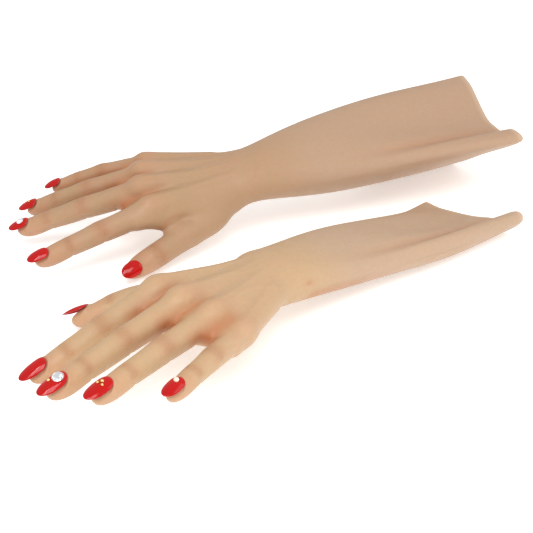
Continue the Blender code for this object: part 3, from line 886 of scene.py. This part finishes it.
def build_ornament(node, frames, materials):
    """A stone in its collar, or a bead, standing on the nail a set way from the cuticle."""
    side = node.split("_")[0]
    name, finish, behind, aside, radius = ORNAMENTS[node]
    size = nail_size(side, name)
    wide = DIGITS[name]["wide"][2] + NAIL_LIFT
    share = behind / (size["bed"] + size["free"])
    level = nail_level(name, aside, share) + 0.5 * NAIL_THICKNESS - ORNAMENT_SINK
    start = DIGITS[name]["bones"][2] - size["bed"] + behind
    place = frames[side][name]["end"] @ Matrix.Translation((start, aside, level))
    place = place @ turn("X", -math.degrees(math.asin(aside / wide)))
    if finish == "rhinestone":
        stone = stacked(gem_rings(radius, 0.72 * radius))
        parts = [stone, bezel(radius, 0.16 * radius)]
    else:
        rings = ball_rings(radius)
        rings[:, :, 2] += 0.8 * radius
        parts = [stacked(rings)]
    points, faces = joined(parts)
    points = to_world(points, place)
    facets = finish == "rhinestone"
    piece = make_piece(f"{node}_cut", points, faces, materials[finish], flat=facets)
    face_out(piece)
    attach(piece, f"{side}_{name}_tip")
    finish_piece(node)


# ---- Sleeves ----


def smooth_through(values, samples, closed):
    """A Catmull-Rom curve through rows of values, sampled evenly in its parameter."""
    count = len(values)
    spans = count if closed else count - 1
    at = np.linspace(0, spans, samples, endpoint=not closed)
    span = np.minimum(at.astype(int), spans - 1)
    part = (at - span).reshape((-1,) + (1,) * (values.ndim - 1))
    if closed:
        corners = [values[(span + shift) % count] for shift in (-1, 0, 1, 2)]
    else:
        padded = np.concatenate([[2 * values[0] - values[1]], values, [2 * values[-1] - values[-2]]])
        corners = [padded[span + shift] for shift in (0, 1, 2, 3)]
    before, start, end, after = corners
    return 0.5 * (
        2 * start
        + (end - before) * part
        + (2 * before - 5 * start + 4 * end - after) * part ** 2
        + (3 * start - before - 3 * end + after) * part ** 3
    )


def sleeve_outline(side, frames, rows, around):
    """The sleeve's outside: the wrist's oval and the outlines beyond it, joined by smooth curves.

    Near the wrist the growth away from the straight oval starts gently, so that the sleeve leaves
    the hand without a fold.
    """
    wrist = np.array(frames["forearm"].translation)
    yaw = math.radians(POSES[side]["forearm"][0])
    along = np.array([math.cos(yaw), math.sin(yaw), 0])
    across = np.array([-along[1], along[0], 0])
    angles = np.radians([180, 135, 90, 45, 0, -45, -90, -135])
    wide, high = WRIST_HALF
    oval = np.stack([0 * angles, -wide * np.cos(angles), high * np.sin(angles)], axis=1)
    outlines = [to_world(oval, frames["forearm"])]
    for distance, outline in SLEEVES[side]:
        shift, rise, extra = np.array(outline, float).T[..., None]
        flat = wrist * (1, 1, 0) + along * (distance + extra) + across * shift
        outlines.append(flat + rise * (0, 0, 1))
    grid = smooth_through(np.array(outlines), rows, False)
    grid = smooth_through(grid.transpose(1, 0, 2), around, True).transpose(1, 0, 2)
    fine = np.linspace(0, 2 * math.pi, around, endpoint=False)
    start = np.stack([0 * fine, wide * np.cos(fine), high * np.sin(fine)], axis=1)
    start = to_world(start, frames["forearm"])[None]
    axis = -np.array(frames["forearm"].col[0])[:3]
    way = ((grid - start) @ axis)[..., None]
    straight = start + way * axis
    share = 1 - np.exp(-np.linspace(0, 3, rows) / 0.13)[:, None, None]
    return straight + (grid - straight) * share


def outward(grid):
    """Unit normals of a tube given as rings, pointing away from the middle of each ring."""
    across = np.roll(grid, -1, axis=1) - np.roll(grid, 1, axis=1)
    normal = unit(np.cross(across, np.gradient(grid, axis=0)))
    middle = grid.mean(axis=1, keepdims=True)
    return -normal if np.sum(normal * (grid - middle)) < 0 else normal


def build_sleeve(side, frames, material):
    """A hollow sleeve: outer wall, rounded rim, inner wall back to the wrist, closed on itself.

    The outer wall is moved along its normal by a groove beside the near ridge, a soft lengthwise
    sag and slow dents, and the inner wall follows it one wall thickness inside.
    """
    rows, around = ((120, 200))
    outer = sleeve_outline(side, frames, rows, around)
    v = np.linspace(0, 1, rows)[:, None]
    u = np.linspace(0, 8, around, endpoint=False)[None, :]
    start_at, end_at, groove_deep, groove_from = GROOVES[side]
    groove_at = start_at + (end_at - start_at) * ease(v, 0.3, 1.0)
    groove = bell(u - groove_at, GROOVE_WIDTH) * ease(v, groove_from, groove_from + 0.4)
    swell = bell(u - 0.75, 0.5) * ease(v, 0.3, 0.8)
    dents = 0.35 * np.sin(7 * v + 1.3 * u) * np.sin(1.57 * u + 3 * v) * ease(v, 0.05, 0.3)
    move = 0.9 * swell - groove_deep * groove + dents
    outer = outer + outward(outer) * move[..., None]
    outer[:, :, 2] = np.where(v > 0.02, np.maximum(outer[:, :, 2], 0), outer[:, :, 2])
    normal = outward(outer)
    inner = outer - normal * SLEEVE_WALL
    outer = outer - normal * 0.12 * (1 - ease(v, 0, 0.03))[..., None]
    centre = (outer[-1] + inner[-1]) / 2
    reach = (outer[-1] - inner[-1]) / 2
    ahead = unit(outer[-1] - outer[-3]) * SLEEVE_WALL / 2
    turns = np.radians([30, 60, 90, 120, 150])
    rim = [centre + reach * math.cos(angle) + ahead * math.sin(angle) for angle in turns]
    grid = np.concatenate([outer, np.array(rim), inner[::-1]])
    whole = len(grid)
    crevice_shade = np.zeros((whole, around))
    # Painted shade along the groove beside the near ridge.
    crevice_shade[:rows] = 0.25 * groove
    if side == "left":
        # A small darker patch near the wrist on the near side.
        crevice_shade[:rows] += 0.42 * bell(u - 0.35, 0.13) * bell(v - 0.045, 0.016)
        # Painted shade along the near lower edge, where the sleeve meets the floor.
        crevice_shade[:rows] += 0.45 * bell(u - 7.5, 0.35) * ease(v, 0.01, 0.09) * (1 - ease(v, 0.12, 0.5))
    edge = np.zeros((whole, around))
    edge[rows:rows + len(rim)] = 1
    edge[:rows] = ease(v, 0.975, 1.0)
    blank = np.zeros(whole * around)
    fade = np.ones((whole, around))
    fade[:rows] = ease(v, 0, 0.28)
    values = {
        "crevice_shade": crevice_shade.ravel(), "rim": edge.ravel(), "fade": fade.ravel(),
        "fold_phase": blank, "fold": blank, "flush": blank,
    }
    name = f"{side}_forearm_sleeve_skin"
    faces = tube_faces(whole, around, closed_rows=True)
    piece = make_piece(name, grid.reshape(-1, 3), faces, material, values=values)
    face_out(piece)
    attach(piece, f"{side}_forearm")
    finish_piece(f"{side}_forearm_sleeve")


# ---- Materials ----

# Deep red-brown for painted shade between the digits, in the webs, along the sleeves' grooves and in
# wrinkle creases, and for a faint real speckle in the silicone.
SHADE_AND_SPECK_TONE = (0.40, 0.125, 0.040, 1)
FLUSHED_TONE = (0.52, 0.255, 0.145, 1)
SKIN_TONES = {
    "right": {
        "base": (0.415, 0.268, 0.153, 1),
        "pink": (0.430, 0.253, 0.155, 1),
        "sallow": (0.385, 0.258, 0.138, 1),
        "faded": (0.425, 0.283, 0.188, 1),
    },
    "left": {
        "base": (0.485, 0.330, 0.187, 1),
        "pink": (0.495, 0.310, 0.187, 1),
        "sallow": (0.455, 0.320, 0.168, 1),
        "faded": (0.445, 0.312, 0.215, 1),
    },
}

# Stones and beads: two tones, how metallic, and the least roughness.
ORNAMENT_FINISHES = {
    "rhinestone": ("rhinestone", ((0.92, 0.94, 0.96, 1), (0.72, 0.76, 0.80, 1)), 0.85, 0.05),
    "gold": ("gold_bead", ((0.86, 0.60, 0.22, 1), (0.74, 0.48, 0.15, 1)), 1.0, 0.18),
    "pearl": ("pearl_bead", ((0.90, 0.80, 0.62, 1), (0.86, 0.70, 0.48, 1)), 0.25, 0.12),
}


def add_node(tree, kind, values=None, **settings):
    """A shader node with its settings and its unlinked inputs."""
    node = tree.nodes.new(kind)
    for key, value in settings.items():
        setattr(node, key, value)
    for key, value in (values or {}).items():
        node.inputs[key].default_value = value
    return node


def feed(tree, given, target):
    """Sets an input to a value, or links it to a (node, output) pair."""
    if isinstance(given, tuple) and isinstance(given[0], bpy.types.Node):
        tree.links.new(given[0].outputs[given[1]], target)
    else:
        target.default_value = given


def mixed(tree, factor, first, second):
    """A colour mix of values or (node, output) pairs."""
    node = add_node(tree, "ShaderNodeMix", data_type="RGBA")
    for index, given in ((0, factor), (6, first), (7, second)):
        feed(tree, given, node.inputs[index])
    return node, 2


def computed(tree, operation, *given):
    """A maths node on numbers or (node, output) pairs."""
    node = add_node(tree, "ShaderNodeMath", operation=operation)
    for index, value in enumerate(given):
        feed(tree, value, node.inputs[index])
    return node, 0


def ramped(tree, source, start=0.0, end=1.0, low=0.0, high=1.0):
    """A value stretched so that start becomes low and end becomes high, held between them."""
    limits = {"From Min": start, "From Max": end, "To Min": low, "To Max": high}
    node = add_node(tree, "ShaderNodeMapRange", limits, clamp=True)
    feed(tree, source, node.inputs["Value"])
    return node, 0


def own_value(tree, key):
    """A number kept at each point of the mesh."""
    return add_node(tree, "ShaderNodeAttribute", attribute_name=key), "Fac"


def layered(tree, colour, layers):
    """A colour drawn towards one tone after another, each by a value times a share."""
    for source, share, tone in layers:
        colour = mixed(tree, computed(tree, "MULTIPLY", source, share), colour, tone)
    return colour


def noise_group(name, key, value, *outputs):
    """A node group with one number to set, its outputs, and Object coordinates inside."""
    group = bpy.data.node_groups.new(name, "ShaderNodeTree")
    made = group.interface.new_socket(name=key, in_out="INPUT", socket_type="NodeSocketFloat")
    made.default_value = value
    for output in outputs:
        group.interface.new_socket(name=output, in_out="OUTPUT", socket_type="NodeSocketFloat")
    given = (group.nodes.new("NodeGroupInput"), key)
    place = (group.nodes.new("ShaderNodeTexCoord"), "Object")
    return group, given, place, group.nodes.new("NodeGroupOutput").inputs


def mottle_group():
    """Slow and middling cloudiness of cast silicone, and a fine pore pattern, all on object places."""
    names = ("Cloud", "Patch", "Speck", "Pores")
    group, scale, place, outputs = noise_group("silicone_mottle", "Scale", 1.0, *names)
    scaled = add_node(group, "ShaderNodeVectorMath", operation="SCALE")
    feed(group, place, scaled.inputs["Vector"])
    feed(group, scale, scaled.inputs["Scale"])
    clouds = (("Cloud", 14, 2, 0.5), ("Patch", 62, 4, 0.55), ("Speck", 420, 3, 0.6))
    for name, size, detail, rough in clouds:
        settings = {"Scale": size, "Detail": detail, "Roughness": rough}
        noise = add_node(group, "ShaderNodeTexNoise", settings)
        feed(group, (scaled, "Vector"), noise.inputs["Vector"])
        feed(group, ramped(group, (noise, "Fac"), 0.33, 0.67), outputs[name])
    pores = add_node(group, "ShaderNodeTexVoronoi", {"Scale": 900.0}, feature="DISTANCE_TO_EDGE")
    feed(group, (scaled, "Vector"), pores.inputs["Vector"])
    feed(group, ramped(group, (pores, "Distance"), 0.0, 0.25), outputs["Pores"])
    return group


def wrinkle_group():
    """Cross lines over a bending joint: a sine of the place along the digit, shaken by noise."""
    group, spacing, place, outputs = noise_group("joint_wrinkles", "Spacing", 1.9, "Height")
    noise = add_node(group, "ShaderNodeTexNoise", {"Scale": 160.0, "Detail": 2.0})
    feed(group, place, noise.inputs["Vector"])
    shake = computed(group, "MULTIPLY", (noise, 0), 2.4)
    shaken = computed(group, "ADD", own_value(group, "fold_phase"), shake)
    turns = computed(group, "DIVIDE", shaken, spacing)
    line = computed(group, "SINE", computed(group, "MULTIPLY", turns, 2 * math.pi))
    sharp = computed(group, "ABSOLUTE", line)
    height = computed(group, "MULTIPLY", sharp, own_value(group, "fold"))
    feed(group, height, outputs["Height"])
    return group


def new_material(name, groups, scale):
    """A material, its node tree, and the cloudy pattern at a scale."""
    material = bpy.data.materials.new(name)
    material.use_nodes = True
    tree = material.node_tree
    mottle = add_node(tree, "ShaderNodeGroup", {"Scale": scale}, node_tree=groups["mottle"])
    return material, tree, mottle


def finish_shader(tree, inputs):
    """Sets or links the shader's inputs."""
    for key, given in inputs.items():
        feed(tree, given, tree.nodes["Principled BSDF"].inputs[key])


def bumped(tree, height, strength, distance):
    """A normal bent by the slope of a height."""
    bump = add_node(tree, "ShaderNodeBump", {"Strength": strength, "Distance": distance})
    feed(tree, height, bump.inputs["Height"])
    return bump, "Normal"


def skin_material(name, tones, groups):
    """Cast silicone skin: a base tone clouded with pinker and sallower ones, redder at the knuckles and
    fingertips, with painted red-brown shade in the webs, between the digits and in the wrinkle creases,
    pores, joint wrinkles and a satin surface."""
    material, tree, mottle = new_material(name, groups, 1.0)
    wrinkles = (add_node(tree, "ShaderNodeGroup", node_tree=groups["wrinkle"]), "Height")
    colour = layered(tree, tones["base"], (
        ((mottle, "Cloud"), 0.8, tones["pink"]),
        ((mottle, "Patch"), 0.45, tones["sallow"]),
        (own_value(tree, "fade"), 0.8, tones["faded"]),
        (own_value(tree, "flush"), 0.42, FLUSHED_TONE),
        # painted shade between the digits, in the webs and along the sleeves' grooves
        (own_value(tree, "crevice_shade"), 0.95, SHADE_AND_SPECK_TONE),
        ((mottle, "Speck"), 0.10, SHADE_AND_SPECK_TONE),
        # painted shade in the wrinkle creases
        (wrinkles, 0.30, SHADE_AND_SPECK_TONE),
        (own_value(tree, "rim"), 0.35, (0.66, 0.50, 0.36, 1)),
    ))
    pores = computed(tree, "MULTIPLY", (mottle, "Pores"), 0.14)
    grain = computed(tree, "MULTIPLY", (mottle, "Speck"), 0.30)
    ripple = computed(tree, "MULTIPLY", wrinkles, -1.6)
    height = computed(tree, "ADD", computed(tree, "ADD", pores, grain), ripple)
    finish_shader(tree, {
        "Base Color": colour,
        "Roughness": ramped(tree, (mottle, "Patch"), low=0.42, high=0.58),
        "Normal": bumped(tree, height, 0.55, 0.00035),
        "Specular IOR Level": 0.35,
        "Subsurface Weight": 0.12,
        "Subsurface Radius": (1.0, 0.35, 0.15),
        "Subsurface Scale": 0.004,
    })
    return material


def nail_material(groups):
    """Glossy red varnish, a little deeper towards the point, with a pinker line at the cuticle."""
    material, tree, mottle = new_material("nail_varnish", groups, 3.0)
    along = own_value(tree, "along")
    point = ramped(tree, along, 0.25, 1.0)
    cuticle = ramped(tree, along, 0.075, 0.02)
    colour = mixed(tree, point, (0.44, 0.004, 0.003, 1), (0.38, 0.002, 0.002, 1))
    colour = mixed(tree, cuticle, colour, (0.42, 0.05, 0.035, 1))
    colour = layered(tree, colour, (
        (own_value(tree, "rim"), 0.25, (0.46, 0.015, 0.012, 1)),
        ((mottle, "Patch"), 0.12, (0.56, 0.010, 0.008, 1)),
    ))
    finish_shader(tree, {
        "Base Color": colour,
        "Roughness": ramped(tree, (mottle, "Patch"), low=0.10, high=0.17),
        "Normal": bumped(tree, (mottle, "Cloud"), 0.12, 0.0003),
        "Specular IOR Level": 0.0,
        "Coat Weight": 0.6,
        "Coat Roughness": 0.04,
    })
    return material


def ornament_material(name, tones, metallic, roughness, groups):
    """A small polished piece whose tone and polish drift a little."""
    material, tree, mottle = new_material(name, groups, 8.0)
    finish_shader(tree, {
        "Base Color": mixed(tree, (mottle, "Patch"), *tones),
        "Roughness": ramped(tree, (mottle, "Cloud"), low=roughness, high=roughness + 0.08),
        "Metallic": metallic,
        "Coat Weight": 0.6,
    })
    return material


def floor_material(groups):
    """A pale floor that gives out a little light, so that shadows on it stay faint."""
    material, tree, mottle = new_material("studio_floor", groups, 0.1)
    faint = computed(tree, "MULTIPLY", (mottle, "Cloud"), 0.1)
    finish_shader(tree, {
        "Base Color": mixed(tree, faint, (0.93, 0.93, 0.93, 1), (0.90, 0.90, 0.90, 1)),
        "Roughness": 0.7,
        "Emission Color": (1, 1, 1, 1),
        "Emission Strength": 0.4,
    })
    return material


def make_materials():
    groups = {"mottle": mottle_group(), "wrinkle": wrinkle_group()}
    made = {"nail": nail_material(groups), "floor": floor_material(groups)}
    for side, tones in SKIN_TONES.items():
        made[side] = skin_material(f"{side}_silicone_skin", tones, groups)
    for finish, look in ORNAMENT_FINISHES.items():
        made[finish] = ornament_material(*look, groups)
    return made


# ---- Studio ----


FLOOR_HALF = 40.0
FLOOR_DROP = 0.0005


def area_light(name, place, target, size, power):
    data = bpy.data.lights.new(name, "AREA")
    data.shape = "RECTANGLE"
    data.size, data.size_y = size
    data.energy = power
    light = bpy.data.objects.new(name, data)
    light.location = place
    light.rotation_euler = (Vector(target) - Vector(place)).to_track_quat("-Z", "Y").to_euler()
    bpy.context.scene.collection.objects.link(light)


def build_studio(floor_finish):
    """A pale floor, a white surround and large soft lights above and beside the pair."""
    mesh = bpy.data.meshes.new("studio_floor")
    ways = ((-1, -1), (1, -1), (1, 1), (-1, 1))
    corners = [(x * FLOOR_HALF, y * FLOOR_HALF, -FLOOR_DROP) for x, y in ways]
    mesh.from_pydata(corners, [], [(0, 1, 2, 3)])
    mesh.materials.append(floor_finish)
    floor = bpy.data.objects.new("studio_floor", mesh)
    bpy.context.scene.collection.objects.link(floor)
    world = bpy.data.worlds.new("studio")
    world.use_nodes = True
    background = world.node_tree.nodes["Background"]
    background.inputs["Color"].default_value = (1, 1, 1, 1)
    background.inputs["Strength"].default_value = 0.72
    bpy.context.scene.world = world
    bpy.context.scene.view_settings.view_transform = "Standard"
    area_light("key", (-0.35, -0.55, 0.95), (0, 0, 0.03), (0.7, 0.5), 6)
    area_light("strip", (-0.62, -0.30, 0.80), (-0.1, 0, 0.03), (0.06, 0.6), 1.6)
    area_light("fill", (0.7, -0.5, 0.6), (0.05, 0, 0.03), (0.6, 0.6), 1.5)
    area_light("front", (0.05, -1.0, 0.22), (0.05, 0, 0.03), (0.9, 0.3), 1.0)


def build_camera():
    """The camera looks down from the left front, at the middle of the pair."""
    target = Vector((-16.8, -0.5, 0)) * MM
    back = Vector((-0.4868, -0.7326, 0.4756)).normalized()
    data = bpy.data.cameras.new("camera")
    data.sensor_width = 36
    data.lens = 69.7
    camera = bpy.data.objects.new("camera", data)
    camera.location = target + back * 0.719
    camera.rotation_euler = (-back).to_track_quat("-Z", "Y").to_euler()
    data.clip_start = 0.01
    data.clip_end = 50
    bpy.context.scene.collection.objects.link(camera)
    bpy.context.scene.camera = camera


def main():
    materials = make_materials()
    frames = {side: hand_frames(side) for side in MIRROR}
    for side in MIRROR:
        build_sleeve(side, frames[side], materials[side])
        build_hand_skin(side, frames[side], materials[side])
        for name in DIGITS:
            build_nail(side, name, frames[side][name], materials["nail"])
    for node in ORNAMENTS:
        build_ornament(node, frames, materials)
    build_studio(materials["floor"])
    build_camera()


main()
